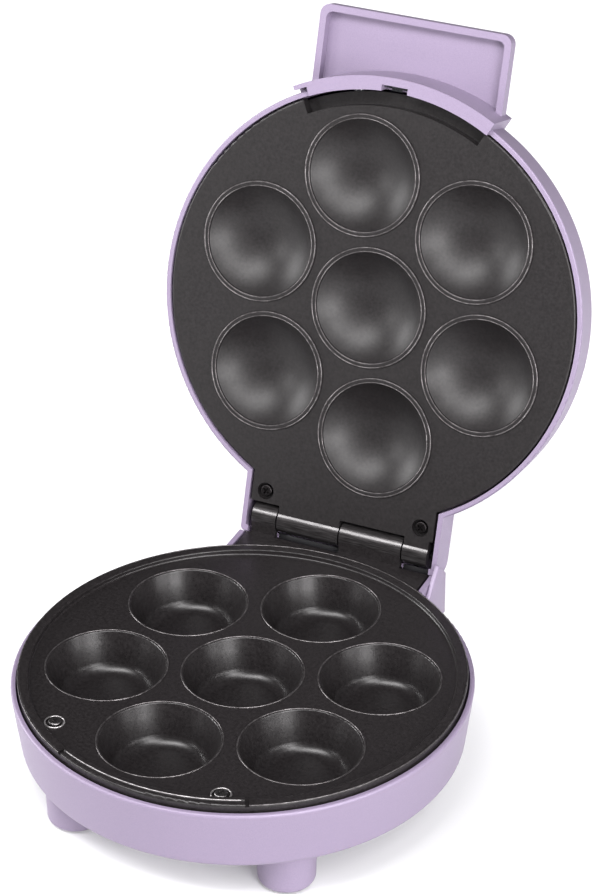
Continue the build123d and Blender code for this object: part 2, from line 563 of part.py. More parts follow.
# elements
def element(z):
    # a ring with two legs that run out between two cups
    turn = math.degrees(math.asin(ELEMENT_LEG / ELEMENT_RING_R))
    ring_x = math.sqrt(ELEMENT_RING_R ** 2 - ELEMENT_LEG ** 2)
    arc = Plane.XZ * Pos(ELEMENT_RING_R, 0) * Circle(ELEMENT_R)
    body = Rot(0, 0, turn) * revolve(arc, Axis.Z, 360 - 2 * turn)
    for side in (-1, 1):
        body += Pos(ring_x, side * ELEMENT_LEG, 0) * Sphere(ELEMENT_R)
        body += Pos((ring_x + ELEMENT_LEG_END) / 2, side * ELEMENT_LEG, 0) * Rot(0, 90, 0) * Cylinder(
            ELEMENT_R, ELEMENT_LEG_END - ring_x)
        body += Pos(ELEMENT_LEG_END + ELEMENT_PIN / 2, side * ELEMENT_LEG, 0) * Rot(0, 90, 0) * Cylinder(
            LEAD_R + 0.1, ELEMENT_PIN)
    return Pos(0, 0, z) * Rot(0, 0, LEG_ANGLE) * body


keep("lower_element", element(element_z), PLACE)
keep("upper_element", element(upper_element_z), OPEN)

# reflectors
pan = turned([(0, 0), (REFLECTOR_R, 0), (REFLECTOR_R, 4), (REFLECTOR_R - REFLECTOR_T, 4),
              (REFLECTOR_R - REFLECTOR_T, REFLECTOR_T), (0, REFLECTOR_T)])
lower = Pos(0, 0, LOWER_REFLECTOR_Z) * pan
for angle in PLATE_SCREW_ANGLES:
    bx, by, _ = polar(PLATE_SCREW_R, angle)
    lower -= rod(BOSS_R + REFLECTOR_CLEAR, -40, 0, bx, by)
lower -= rod(STAT_R + REFLECTOR_CLEAR, -40, 0)
keep("lower_reflector", lower, PLACE)
upper = Pos(0, 0, UPPER_REFLECTOR_Z + REFLECTOR_T) * Rot(180, 0, 0) * pan
upper -= rod(8, 0, 40, LENS_X, LENS_Y) + rod(8, 0, 40, -LENS_X, LENS_Y)
keep("upper_reflector", upper, OPEN)

# thermostat, fuse, terminal block, gland
stat_top = cup_floor - CUP_WALL
stat = rod(STAT_R, stat_top - STAT_H, stat_top)
stat += block(-12, 12, -3, 3, stat_top - 0.8, stat_top)
keep("thermostat", stat, PLACE)
fuse_z = LOWER_REFLECTOR_Z + REFLECTOR_T + FUSE_R
fuse = Pos(FUSE_RING_R, 0, fuse_z) * Rot(0, 90, 0) * Cylinder(FUSE_R, FUSE_L)
fuse = Rot(0, 0, FUSE_ANGLE) * fuse
keep("thermal_fuse", fuse, PLACE)
floor_z = BASE_BOTTOM_Z + WALL
bw, bd, bh = BLOCK
terminal = block(-bw / 2, bw / 2, BLOCK_Y - bd / 2, BLOCK_Y + bd / 2, floor_z, floor_z + bh)
terminal = fillet(terminal.edges().filter_by(Axis.Z), 1.2)
terminal -= block(-0.6, 0.6, BLOCK_Y - bd, BLOCK_Y + bd, floor_z + bh - 2.5, floor_z + bh + 1)
keep("terminal_block", terminal, PLACE)
back_y = HINGE_Y + LEDGE_BACK
gland = rod(GLAND_R, -WALL, 0) + rod(GLAND_FLANGE_R, 0, GLAND_FLANGE_T)
gland = fillet(gland.edges().group_by(Axis.Z)[-1], 0.6)
gland += rod(GLAND_FLANGE_R, -WALL - GLAND_FLANGE_T, -WALL)
gland -= rod(GLAND_BORE_R, -20, 20)
keep("cord_gland", Pos(GLAND_X, back_y, GLAND_Z) * Rot(-90, 0, 0) * gland, PLACE)

# leads from the block to the element
block_top = floor_z + bh
for side, word in ((-1, "left"), (1, "right")):
    ex, ey, _ = polar(math.hypot(ELEMENT_LEG_END + ELEMENT_PIN, ELEMENT_LEG), LEG_ANGLE - side * math.degrees(
        math.atan2(ELEMENT_LEG, ELEMENT_LEG_END + ELEMENT_PIN)))
    end = Vector(ex, ey, element_z)
    out = end + Vector(*polar(LEAD_OUT - side * LEAD_STEP, LEG_ANGLE))
    tx, ty = side * bw / 4, BLOCK_Y - side * LEAD_STEP
    start = Vector(tx, ty, block_top)
    up = Vector(tx, ty, block_top + LEAD_RISE)
    path = FilletPolyline(end, out, up, start, radius=LEAD_BEND)
    lead = sweep(Plane(origin=path @ 0, z_dir=path % 0) * Circle(LEAD_R), path)
    keep(f"lead_{word}", lead, PLACE)

# indicator lenses and their holder
hw, hd, hh = HOLDER
lens_top = crown_z(math.hypot(LENS_X, LENS_Y)) + LENS_PROUD
lens = rod(LENS_R, HOLDER_Z, lens_top)
lens = fillet(lens.edges().group_by(Axis.Z)[-1], 0.8)
for side, word in ((-1, "power"), (1, "ready")):
    keep(f"lens_{word}", Pos(side * LENS_X, LENS_Y, 0) * lens, OPEN)
holder = block(-hw / 2, hw / 2, LENS_Y - hd / 2, LENS_Y + hd / 2, HOLDER_Z - hh, HOLDER_Z)
keep("lamp_holder", holder, OPEN)

os.makedirs("parts", exist_ok=True)
for name, shape in PARTS.items():
    export_step(shape, f"parts/{name}.step")
    print(name, len(shape.solids()), round(shape.volume, 1))
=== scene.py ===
# %% [markdown]
# # Seven cup cupcake maker, standing open
# The construction comes in as a fixed frame: every housing, plate, screw and foot already has its size and
# place. This lesson dresses it. It places the camera and the light of a small photo studio, makes one
# finish for each material, and models the small parts that only matter to the eye. Lengths here are metres,
# so a value written as `3.0 * MM` is three millimetres.

# %% Load the frame
import math

import bmesh
import bpy
from mathutils import Matrix, Vector


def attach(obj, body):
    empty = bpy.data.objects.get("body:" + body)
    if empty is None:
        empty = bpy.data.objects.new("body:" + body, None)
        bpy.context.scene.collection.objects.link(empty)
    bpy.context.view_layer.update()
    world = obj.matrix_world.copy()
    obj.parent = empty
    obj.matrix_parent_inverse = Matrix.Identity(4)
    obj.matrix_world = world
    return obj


MM = 0.001
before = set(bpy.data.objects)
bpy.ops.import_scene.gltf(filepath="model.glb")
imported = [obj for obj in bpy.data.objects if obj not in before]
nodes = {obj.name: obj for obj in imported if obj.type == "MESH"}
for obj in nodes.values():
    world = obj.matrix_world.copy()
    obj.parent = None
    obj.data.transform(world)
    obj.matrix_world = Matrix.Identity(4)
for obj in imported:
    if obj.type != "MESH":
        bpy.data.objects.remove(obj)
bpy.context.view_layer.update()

# %% [markdown]
# ## The camera
# The photo looks down on the machine from its front right corner. The lens is long, so that the round
# plates keep their shape. The camera is placed by its turn round the machine, its height in degrees and
# its distance. The values come from laying the mouths of the cups and domes, both rims and the line of the
# hinge over those in the photo. These agree to about 3 pixels rms, but parts of the lid lie up to 8 pixels
# off and the front foot about 9.

# %% Place the camera
VIEW_TURN = math.radians(24.3)
VIEW_HEIGHT = math.radians(31.1)
VIEW_DISTANCE = 1300 * MM
LOOK_AT = Vector((3.4, 10.0, 131.0)) * MM
LENS = 124.2             # millimetres, with the sensor's 36 mm along the photo's long side
SENSOR = 36.0

camera_data = bpy.data.cameras.new("studio_camera")
camera_data.lens = LENS
camera_data.sensor_width = SENSOR
camera = bpy.data.objects.new("studio_camera", camera_data)
bpy.context.scene.collection.objects.link(camera)
towards_camera = Vector((
    math.sin(VIEW_TURN) * math.cos(VIEW_HEIGHT),
    -math.cos(VIEW_TURN) * math.cos(VIEW_HEIGHT),
    math.sin(VIEW_HEIGHT),
))
camera.location = LOOK_AT + VIEW_DISTANCE * towards_camera
camera.rotation_mode = "QUATERNION"
camera.rotation_quaternion = (-towards_camera).to_track_quat("-Z", "Y")
camera_data.clip_start = 0.05
camera_data.clip_end = 20.0
bpy.context.scene.camera = camera
print("camera at", [round(x, 3) for x in camera.location])

# %% [markdown]
# ## Colours and shader nodes
# A colour picked from a screen is an sRGB value. The renderer counts light in linear values, so one
# function turns a hex colour into those. A second small function adds any shader node with its settings and
# links, and a third starts a material and sets the plain values of its surface.

# %% Helpers for every material
def linear(hex_colour):
    channels = [int(hex_colour[i:i + 2], 16) / 255 for i in (1, 3, 5)]
    return [c / 12.92 if c <= 0.04045 else ((c + 0.055) / 1.055) ** 2.4 for c in channels] + [1.0]


def add_node(tree, kind, inputs=None, links=None, **settings):
    node = tree.nodes.new(kind)
    for name, value in settings.items():
        setattr(node, name, value)
    for name, value in (inputs or {}).items():
        node.inputs[name].default_value = value
    for name, source in (links or {}).items():
        tree.links.new(source, node.inputs[name])
    return node


def start_material(name, **surface):
    material = bpy.data.materials.new(name)
    material.use_nodes = True
    tree = material.node_tree
    shader = tree.nodes["Principled BSDF"]
    for socket, value in surface.items():
        shader.inputs[socket.replace("_", " ")].default_value = value
    return material, tree, shader


print("linear value of a mid grey:", round(linear("#808080")[0], 3))

# %% [markdown]
# ## Floor and light
# The photo is a plain studio shot on white. Its lamps can't be seen, so the places and strengths here were
# chosen by comparing tones with the photo, and some tones still differ. Soft lights stand low to the right
# and low to the left of the camera, with a darker gap between them: the gap draws the dark middle of every
# dome, and the lights draw the bright patches beside it. Three more lights hang higher, in front and to
# both sides. They light the handle and the collar and lay a streak along the hinge. Each light is placed by
# its turn round the machine and its height, both in degrees, at one distance from the middle of the
# picture. The floor is a wide sheet of white paper with a painted glow of its own: weak in front, where it
# pales the shadows, and rising behind the machine to pure white, where it stands in for a background light.

# %% Build the studio
FLOOR_SIDE = 12.0
FLOOR_WHITE = "#cbcbcc"
FLOOR_GLOW_NEAR = 0.18   # in front of the machine the sheet has almost no light of its own
FLOOR_GLOW_FAR = 0.9     # behind the machine the painted glow washes the sheet out to pure white
GLOW_START = -0.2        # metres from the origin, along the line of sight
GLOW_END = 0.2
LIGHT_AWAY = 1.6
LIGHTS = {
    "soft_light_right": {"turn": 51, "height": 14, "wide": 0.7, "high": 0.6, "watts": 22},
    "side_light_right": {"turn": 80, "height": 11, "wide": 0.4, "high": 0.5, "watts": 10},
    "high_light_right": {"turn": 44, "height": 45, "wide": 0.6, "high": 0.7, "watts": 17},
    "high_light_front": {"turn": 0, "height": 62, "wide": 0.7, "high": 0.6, "watts": 18},
    "soft_light_left": {"turn": -85, "height": 12, "wide": 0.5, "high": 0.7, "watts": 20},
    "low_light_left": {"turn": -52, "height": 13, "wide": 0.4, "high": 0.5, "watts": 8},
    "high_light_left": {"turn": -32, "height": 50, "wide": 0.5, "high": 0.5, "watts": 14},
}

bpy.ops.object.select_all(action="DESELECT")
bpy.ops.mesh.primitive_plane_add(size=FLOOR_SIDE, location=(0, 0, 0))
floor = bpy.context.object
floor.name = "floor"
floor_paint, floor_tree, floor_shader = start_material(
    "white_paper_sheet", Base_Color=linear(FLOOR_WHITE), Roughness=0.9, Emission_Color=linear(FLOOR_WHITE))
floor_place = add_node(floor_tree, "ShaderNodeTexCoord")
line_of_sight = (-math.sin(VIEW_TURN), math.cos(VIEW_TURN), 0)
floor_depth = add_node(floor_tree, "ShaderNodeVectorMath", {1: line_of_sight},
                       {0: floor_place.outputs["Object"]}, operation="DOT_PRODUCT")
# painted light: the sheet's glow stands in for a background light and pales the shadows in front
painted_floor_glow = add_node(
    floor_tree, "ShaderNodeMapRange",
    {"From Min": GLOW_START, "From Max": GLOW_END, "To Min": FLOOR_GLOW_NEAR, "To Max": FLOOR_GLOW_FAR},
    {"Value": floor_depth.outputs["Value"]}, interpolation_type="SMOOTHSTEP")
floor_tree.links.new(painted_floor_glow.outputs["Result"], floor_shader.inputs["Emission Strength"])
floor.data.materials.append(floor_paint)

for name, place in LIGHTS.items():
    lamp = bpy.data.lights.new(name, "AREA")
    lamp.shape = "RECTANGLE"
    lamp.size = place["wide"]
    lamp.size_y = place["high"]
    lamp.energy = place["watts"]
    stand = bpy.data.objects.new(name, lamp)
    bpy.context.scene.collection.objects.link(stand)
    turn = math.radians(place["turn"])
    height = math.radians(place["height"])
    from_middle = Vector((
        math.sin(turn) * math.cos(height),
        -math.cos(turn) * math.cos(height),
        math.sin(height),
    ))
    stand.location = LOOK_AT + LIGHT_AWAY * from_middle
    stand.rotation_mode = "QUATERNION"
    stand.rotation_quaternion = (-from_middle).to_track_quat("-Z", "Y")

SKY_WHITE = "#ffffff"
SKY_STRENGTH = 0.06
world = bpy.data.worlds.new("studio_white")
world.use_nodes = True
background = world.node_tree.nodes["Background"]
background.inputs["Color"].default_value = linear(SKY_WHITE)
background.inputs["Strength"].default_value = SKY_STRENGTH
bpy.context.scene.world = world
bpy.context.scene.view_settings.view_transform = "Standard"
print("lights:", list(LIGHTS))

# %% [markdown]
# ## Moulded housings: pearl ABS
# Both housings, the handle and the feet are taken as injection moulded ABS with a fine pearl pigment. To
# the eye it is a soft satin lilac: the lit faces are pale, the turned away faces a deeper violet, and no
# lamp shows as a sharp spot. A slightly metallic surface under a thin, rough coat gives that. A very fine
# orange peel is added, as mouldings have it.

# %% Pearl lilac ABS
PEARL_GRAIN = 0.25 * MM
PEEL_SIZE = 1.8 * MM


def pearl_abs():
    material, tree, shader = start_material(
        "pearl_lilac_moulded_abs", Metallic=0.12, Roughness=0.5, IOR=1.5,
        Coat_Weight=0.2, Coat_Roughness=0.5, Coat_IOR=1.6)
    place = add_node(tree, "ShaderNodeTexCoord")
    flake = add_node(tree, "ShaderNodeTexNoise", {"Scale": 1 / PEARL_GRAIN, "Detail": 2.0},
                     {"Vector": place.outputs["Object"]})
    tint = add_node(tree, "ShaderNodeValToRGB", links={"Fac": flake.outputs["Fac"]})
    tint.color_ramp.elements[0].position = 0.35
    tint.color_ramp.elements[0].color = linear("#7b6e85")
    tint.color_ramp.elements[1].position = 0.68
    tint.color_ramp.elements[1].color = linear("#877a91")
    tree.links.new(tint.outputs["Color"], shader.inputs["Base Color"])
    peel = add_node(tree, "ShaderNodeTexNoise", {"Scale": 1 / PEEL_SIZE, "Detail": 1.0},
                    {"Vector": place.outputs["Object"]})
    bump = add_node(tree, "ShaderNodeBump", {"Strength": 0.05, "Distance": 0.05 * MM},
                    {"Height": peel.outputs["Fac"]})
    tree.links.new(bump.outputs["Normal"], shader.inputs["Normal"])
    return material


# %% [markdown]
# ## Baking plates: non-stick coating on die cast aluminium
# Such plates are usually cast, then sprayed with a charcoal non-stick coating and baked. The finish here
# has a dry, fine grain with a soft sheen, slightly brown beside pure black. The grain is set to 0.35 mm,
# which is finer than a pixel of the photo, so a second, coarser mottle of 1.3 mm carries it. The photo
# shows stronger highlights in the cups, so the coat of the lower plate is set a little smoother, and its
# tones a shade lighter than the upper plate's, which is painted light.

# %% Non-stick coating
SPRAY_GRAIN = 0.35 * MM
SPRAY_MOTTLE = 1.3 * MM


def nonstick_coating(name, dark, light, rough_low, rough_high):
    material, tree, shader = start_material(name, Metallic=0.3, IOR=1.5)
    place = add_node(tree, "ShaderNodeTexCoord")
    grain = add_node(tree, "ShaderNodeTexNoise", {"Scale": 1 / SPRAY_GRAIN, "Detail": 3.0},
                     {"Vector": place.outputs["Object"]})
    mottle = add_node(tree, "ShaderNodeTexNoise", {"Scale": 1 / SPRAY_MOTTLE, "Detail": 2.0},
                      {"Vector": place.outputs["Object"]})
    both = add_node(tree, "ShaderNodeMath", {1: 0.5}, {0: grain.outputs["Fac"]}, operation="MULTIPLY_ADD")
    tree.links.new(mottle.outputs["Fac"], both.inputs[2])
    tint = add_node(tree, "ShaderNodeValToRGB", links={"Fac": both.outputs["Value"]})
    tint.color_ramp.elements[0].position = 0.45
    tint.color_ramp.elements[0].color = linear(dark)
    tint.color_ramp.elements[1].position = 1.05
    tint.color_ramp.elements[1].color = linear(light)
    tree.links.new(tint.outputs["Color"], shader.inputs["Base Color"])
    sheen = add_node(tree, "ShaderNodeMapRange",
                     {"From Min": 0.3, "From Max": 0.7, "To Min": rough_low, "To Max": rough_high},
                     {"Value": grain.outputs["Fac"]})
    tree.links.new(sheen.outputs["Result"], shader.inputs["Roughness"])
    bump = add_node(tree, "ShaderNodeBump", {"Strength": 0.25, "Distance": 0.06 * MM},
                    {"Height": grain.outputs["Fac"]})
    tree.links.new(bump.outputs["Normal"], shader.inputs["Normal"])
    return material


# %% [markdown]
# ## Metals
# The screws in the neck are finished as black phosphated steel and those in the lower plate as steel worn
# to a grey sheen. What is hidden gets what such machines usually have: zinc plated screws, a bright drawn
# pin, a catch clip of blued spring steel, and heaters of oxidised stainless tube backed by trays of
# aluminised sheet. Each is a metal, so it keeps the default index of refraction, and what differs is the
# colour and the roughness.

# %% Steels
def steel(name, dark, light, rough, grain_size):
    material, tree, shader = start_material(name, Metallic=1.0, Roughness=rough)
    place = add_node(tree, "ShaderNodeTexCoord")
    grain = add_node(tree, "ShaderNodeTexNoise", {"Scale": 1 / grain_size, "Detail": 3.0},
                     {"Vector": place.outputs["Object"]})
    tint = add_node(tree, "ShaderNodeValToRGB", links={"Fac": grain.outputs["Fac"]})
    tint.color_ramp.elements[0].position = 0.3
    tint.color_ramp.elements[0].color = linear(dark)
    tint.color_ramp.elements[1].position = 0.75
    tint.color_ramp.elements[1].color = linear(light)
    tree.links.new(tint.outputs["Color"], shader.inputs["Base Color"])
    bump = add_node(tree, "ShaderNodeBump", {"Strength": 0.12, "Distance": 0.03 * MM},
                    {"Height": grain.outputs["Fac"]})
    tree.links.new(bump.outputs["Normal"], shader.inputs["Normal"])
    return material


# %% [markdown]
# ## Plastics, rubber and ceramic
# What is left is dull or glassy: rubber pads under the feet, the black gland and lamp holder, the nylon
# terminal block, the sleeves on the two leads, glazed ceramic round the thermostat, and the clear coloured
# lenses of the two lamps. The photo hides nearly all of it, so these are the usual materials. All share
# one recipe: two close tones mixed by a fine grain that also roughens the skin.

# %% Moulded and glazed finishes
def moulded(name, dark, light, rough, grain_size, **surface):
    material, tree, shader = start_material(name, Roughness=rough, **surface)
    place = add_node(tree, "ShaderNodeTexCoord")
    grain = add_node(tree, "ShaderNodeTexNoise", {"Scale": 1 / grain_size, "Detail": 2.0},
                     {"Vector": place.outputs["Object"]})
    tint = add_node(tree, "ShaderNodeValToRGB", links={"Fac": grain.outputs["Fac"]})
    tint.color_ramp.elements[0].color = linear(dark)
    tint.color_ramp.elements[1].color = linear(light)
    tree.links.new(tint.outputs["Color"], shader.inputs["Base Color"])
    bump = add_node(tree, "ShaderNodeBump", {"Strength": 0.1, "Distance": 0.04 * MM},
                    {"Height": grain.outputs["Fac"]})
    tree.links.new(bump.outputs["Normal"], shader.inputs["Normal"])
    return material


# %% [markdown]
# ## One finish for each node
# Each finish is made once with its two tones, its roughness and its grain in real millimetres, and is then
# given to every node of that material. Nodes that come in sets share the start of their names.

# %% Give every node its finish
pearl = pearl_abs()
coating = nonstick_coating("charcoal_nonstick_coating", "#141112", "#242122", 0.36, 0.5)
# the lower plate's copy of the coating is a shade lighter: painted light for the brighter cups
lower_coating = nonstick_coating("lower_nonstick_coating_painted_lighter", "#171415", "#2a2728", 0.26, 0.37)
plate_screw = steel("worn_plate_screw_steel", "#5d5a5b", "#8b8889", 0.36, 0.4 * MM)
black_screw = steel("black_phosphated_screw_steel", "#1d1b1c", "#3a3738", 0.42, 0.4 * MM)
zinc_screw = steel("zinc_plated_screw_steel", "#a9abad", "#c9cacb", 0.3, 0.6 * MM)
drawn_pin = steel("bright_drawn_pin_steel", "#9b9c9e", "#bfc0c2", 0.24, 0.5 * MM)
spring_clip = steel("blued_spring_steel", "#3c3d42", "#7c7d82", 0.28, 0.5 * MM)
heater_tube = steel("oxidised_stainless_tube", "#5c5148", "#847a70", 0.45, 0.8 * MM)
bright_tray = steel("aluminised_sheet_steel", "#b4b5b6", "#d3d4d5", 0.22, 1.2 * MM)
rubber = moulded("dark_moulded_rubber", "#242325", "#343335", 0.75, 0.5 * MM, IOR=1.5)
ceramic = moulded("glazed_white_ceramic", "#ddd9d0", "#efece5", 0.18, 0.8 * MM, IOR=1.55)
nylon = moulded("natural_nylon_block", "#cfc9ba", "#e0dccf", 0.5, 0.9 * MM, IOR=1.53)
sleeve = moulded("white_glass_fibre_sleeve", "#c9c5ba", "#e6e3db", 0.7, 0.4 * MM, IOR=1.5)
black_plastic = moulded("black_moulded_polypropylene", "#151416", "#232225", 0.5, 0.4 * MM, IOR=1.49)
red_lens = moulded("red_clear_lens", "#8f1712", "#b3211a", 0.12, 0.7 * MM,
                   IOR=1.49, Transmission_Weight=0.4)
green_lens = moulded("green_clear_lens", "#176b33", "#1f8a44", 0.12, 0.7 * MM,
                     IOR=1.49, Transmission_Weight=0.4)

FINISH = {
    "base_shell": pearl, "lid_shell": pearl, "lid_handle": pearl,
    "lower_plate": lower_coating, "upper_plate": coating,
    "hinge_pin": drawn_pin, "catch_clip": spring_clip,
    "lower_element": heater_tube, "upper_element": heater_tube,
    "lower_reflector": bright_tray, "upper_reflector": bright_tray,
    "thermostat": ceramic, "thermal_fuse": ceramic, "terminal_block": nylon,
    "cord_gland": black_plastic, "lamp_holder": black_plastic,
    "lens_power": red_lens, "lens_ready": green_lens,
}
BY_START = {"foot_": pearl, "pad_": rubber, "plate_screw_": plate_screw, "neck_screw_": black_screw,
            "handle_screw_": zinc_screw, "lead_": sleeve}
for name, node in nodes.items():
    finish = FINISH.get(name) or next(f for start, f in BY_START.items() if name.startswith(start))
    node.data.materials.clear()
    node.data.materials.append(finish)
print("dressed", len(nodes), "nodes")

# %% [markdown]
# ## Where the two halves stand
# The machine was laid out shut, about the upright axis of its round base, and the lid was then swung open
# about the pin. The same two placements are made here, so that a small part can be modelled in the shut
# machine, where its numbers are simple, and then be carried to its half.

# %% The two placements
AXIS_Y = -44.07 * MM
STAND_Z = 52.0 * MM
PIN_Y = 105.0 * MM
PIN_Z = 5.0 * MM
OPEN_ANGLE = math.radians(107.0)
ON_BASE = Matrix.Translation((0, AXIS_Y, STAND_Z))
TO_PIN = Matrix.Translation((0, PIN_Y, PIN_Z))
ON_LID = ON_BASE @ TO_PIN @ Matrix.Rotation(-OPEN_ANGLE, 4, "X") @ TO_PIN.inverted()
HALF = {"base": ON_BASE, "lid": ON_LID}
CUP_SPACING = 58.0 * MM
FIRST_CUP_TURN = 79.4    # degrees from the hinge pin, which is how far the pattern is turned in the casting
CUP_TURNS = [math.radians(FIRST_CUP_TURN + 60.0 * i) for i in range(6)]
CUP_POINTS = [(0.0, 0.0)] + [(CUP_SPACING * math.cos(t), CUP_SPACING * math.sin(t)) for t in CUP_TURNS]


def settle(piece, body, finish, x=0.0, y=0.0):
    # write the place into the mesh, give the piece its finish and let it ride on its half
    piece.data.transform(HALF[body] @ Matrix.Translation((x, y, 0)))
    piece.data.materials.clear()
    piece.data.materials.append(finish)
    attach(piece, body)


def twin_of(piece, name):
    twin = piece.copy()
    twin.data = piece.data.copy()
    twin.name = name
    bpy.context.scene.collection.objects.link(twin)
    return twin


print("cups and domes at", [(round(x / MM, 1), round(y / MM, 1)) for x, y in CUP_POINTS])

# %% [markdown]
# ## Painted highlights on the edges of the castings
# In the photo the mouth of each cup, the lip round each dome, the outer edge of the ring and the top of
# the tongue catch the light as thin bright lines. They are laid on as painted highlights: beads in a
# lighter, metallic tone than the coating. Each is a slender bead: a small circle stood on edge and spun
# round the axis of the form that it follows. A spin is the direct way, because every one of these edges is
# round.

# %% A painted highlight finish and the bead
HIGHLIGHT_BREAK_SIZE = 2.5 * MM     # the painted highlight breaks into bright and dull stretches along an edge
BEAD_SIDES = 10


# a lighter, metallic tone for the beads: painted highlight, broken into bright and dull stretches
def painted_highlight_finish(name, dark, light):
    material, tree, shader = start_material(name, Metallic=0.8, Roughness=0.32)
    place = add_node(tree, "ShaderNodeTexCoord")
    highlight_breaks = add_node(tree, "ShaderNodeTexNoise", {"Scale": 1 / HIGHLIGHT_BREAK_SIZE, "Detail": 3.0},
                    {"Vector": place.outputs["Object"]})
    tint = add_node(tree, "ShaderNodeValToRGB", links={"Fac": highlight_breaks.outputs["Fac"]})
    tint.color_ramp.elements[0].position = 0.35
    tint.color_ramp.elements[0].color = linear(dark)
    tint.color_ramp.elements[1].position = 0.65
    tint.color_ramp.elements[1].color = linear(light)
    tree.links.new(tint.outputs["Color"], shader.inputs["Base Color"])
    return material


# painted highlights: a dimmer one for cups, domes and ring, a brighter one for the tongue and screw holes
painted_edge_highlight = painted_highlight_finish("painted_highlight_nonstick_edge", "#4a4647", "#6f6b6c")
painted_bright_highlight = painted_highlight_finish("painted_bright_highlight_edge", "#8d898a", "#b9b5b6")


def bead(name, radius, thick, height, start=0.0, sweep=360.0, steps=96):
    turn = math.radians(start)
    bpy.ops.object.select_all(action="DESELECT")
    bpy.ops.mesh.primitive_circle_add(
        vertices=BEAD_SIDES, radius=thick, rotation=(math.radians(90), 0, turn),
        location=(radius * math.cos(turn), radius * math.sin(turn), height))
    ring = bpy.context.object
    ring.name = name
    bpy.ops.object.transform_apply(location=True, rotation=True, scale=True)
    bpy.ops.object.mode_set(mode="EDIT")
    bpy.ops.mesh.select_all(action="SELECT")
    # seen from above a positive spin turns clockwise, so the angle is turned round
    bpy.ops.mesh.spin(steps=steps, angle=-math.radians(sweep), center=(0, 0, 0), axis=(0, 0, 1))
    bpy.ops.mesh.select_all(action="SELECT")
    bpy.ops.mesh.remove_doubles(threshold=0.005 * MM)
    bpy.ops.mesh.fill_holes(sides=BEAD_SIDES + 2)
    bpy.ops.mesh.normals_make_consistent(inside=False)
    bpy.ops.object.mode_set(mode="OBJECT")
    bpy.ops.object.shade_smooth_by_angle(angle=math.radians(50))
    return ring


# %% [markdown]
# All cups are alike, and so are all domes, so the beads are modelled once in the middle and copied to the
# six places round it. A dome has two: one on the outside of its raised lip and one on the inside. The cup's
# bead is made a little thicker than these two.

# %% Beads round the cups and the domes
CUP_EDGE_R = 26.05 * MM
CUP_EDGE_Z = -2.75 * MM
CUP_EDGE_THICK = 0.32 * MM
DOME_LIP_OUT = 26.6 * MM
DOME_LIP_IN = 24.9 * MM
DOME_LIP_Z = -0.5 * MM
DOME_OUT_THICK = 0.3 * MM
DOME_IN_THICK = 0.24 * MM
cup_bead = bead("cup_edge_middle", CUP_EDGE_R, CUP_EDGE_THICK, CUP_EDGE_Z)
lip_bead = bead("dome_edge_middle", DOME_LIP_OUT, DOME_OUT_THICK, DOME_LIP_Z)
inner_bead = bead("dome_inner_edge_middle", DOME_LIP_IN, DOME_IN_THICK, DOME_LIP_Z)
for i in range(1, 7):
    x, y = CUP_POINTS[i]
    settle(twin_of(cup_bead, f"cup_edge_{i}"), "base", painted_edge_highlight, x, y)
    settle(twin_of(lip_bead, f"dome_edge_{i}"), "lid", painted_edge_highlight, x, y)
    settle(twin_of(inner_bead, f"dome_inner_edge_{i}"), "lid", painted_edge_highlight, x, y)
settle(cup_bead, "base", painted_edge_highlight)
settle(lip_bead, "lid", painted_edge_highlight)
settle(inner_bead, "lid", painted_edge_highlight)
print("beads on seven cups and seven domes")

# %% [markdown]
# ## Inside of the domes
# The inside of a dome is part of a ball. The construction's mesh has the pole of that ball in its middle,
# where thin faces spark in the light, so a smooth skin covers it. The skin is cut from a finer ball by one
# plane at the mouth, and has no pole or seam where the light falls. The ball is given by the mouth and the
# depth of the dome, and the skin lies a hair inside the casting.

# %% Smooth skins of the domes
DOME_MOUTH_R = 24.4 * MM
DOME_DEPTH = 10.5 * MM
BALL_R = (DOME_MOUTH_R ** 2 + DOME_DEPTH ** 2) / (2 * DOME_DEPTH)
BALL_Z = DOME_DEPTH - BALL_R
SKIN = 0.03 * MM
MOUTH_CUT = 0.1 * MM
BALL_FINENESS = 7
bpy.ops.object.select_all(action="DESELECT")
bpy.ops.mesh.primitive_ico_sphere_add(
    subdivisions=BALL_FINENESS, radius=BALL_R - SKIN, location=(0, 0, BALL_Z))
dome_skin = bpy.context.object
dome_skin.name = "dome_skin_middle"
bpy.ops.object.transform_apply(location=True, rotation=True, scale=True)
bpy.ops.object.mode_set(mode="EDIT")
bpy.ops.mesh.select_all(action="SELECT")
bpy.ops.mesh.bisect(plane_co=(0, 0, MOUTH_CUT), plane_no=(0, 0, -1), clear_outer=True)
bpy.ops.mesh.select_all(action="SELECT")
bpy.ops.mesh.flip_normals()
bpy.ops.object.mode_set(mode="OBJECT")
bpy.ops.object.shade_smooth()
for i in range(1, 7):
    settle(twin_of(dome_skin, f"dome_skin_{i}"), "lid", coating, *CUP_POINTS[i])
settle(dome_skin, "lid", coating)
print("dome skins:", len(dome_skin.data.polygons), "faces each")

# %% [markdown]
# ## Middle of the lid
# The crown of the lid is one wide, flat ball. Here too the construction's mesh has a pole in the middle
# that sparks in the light, so a smooth disc covers it. The photo doesn't show this side, and the disc stands
# for no real piece. It is inset ring by ring and then laid on the same ball, a hair proud of the housing
# and running out at its rim.

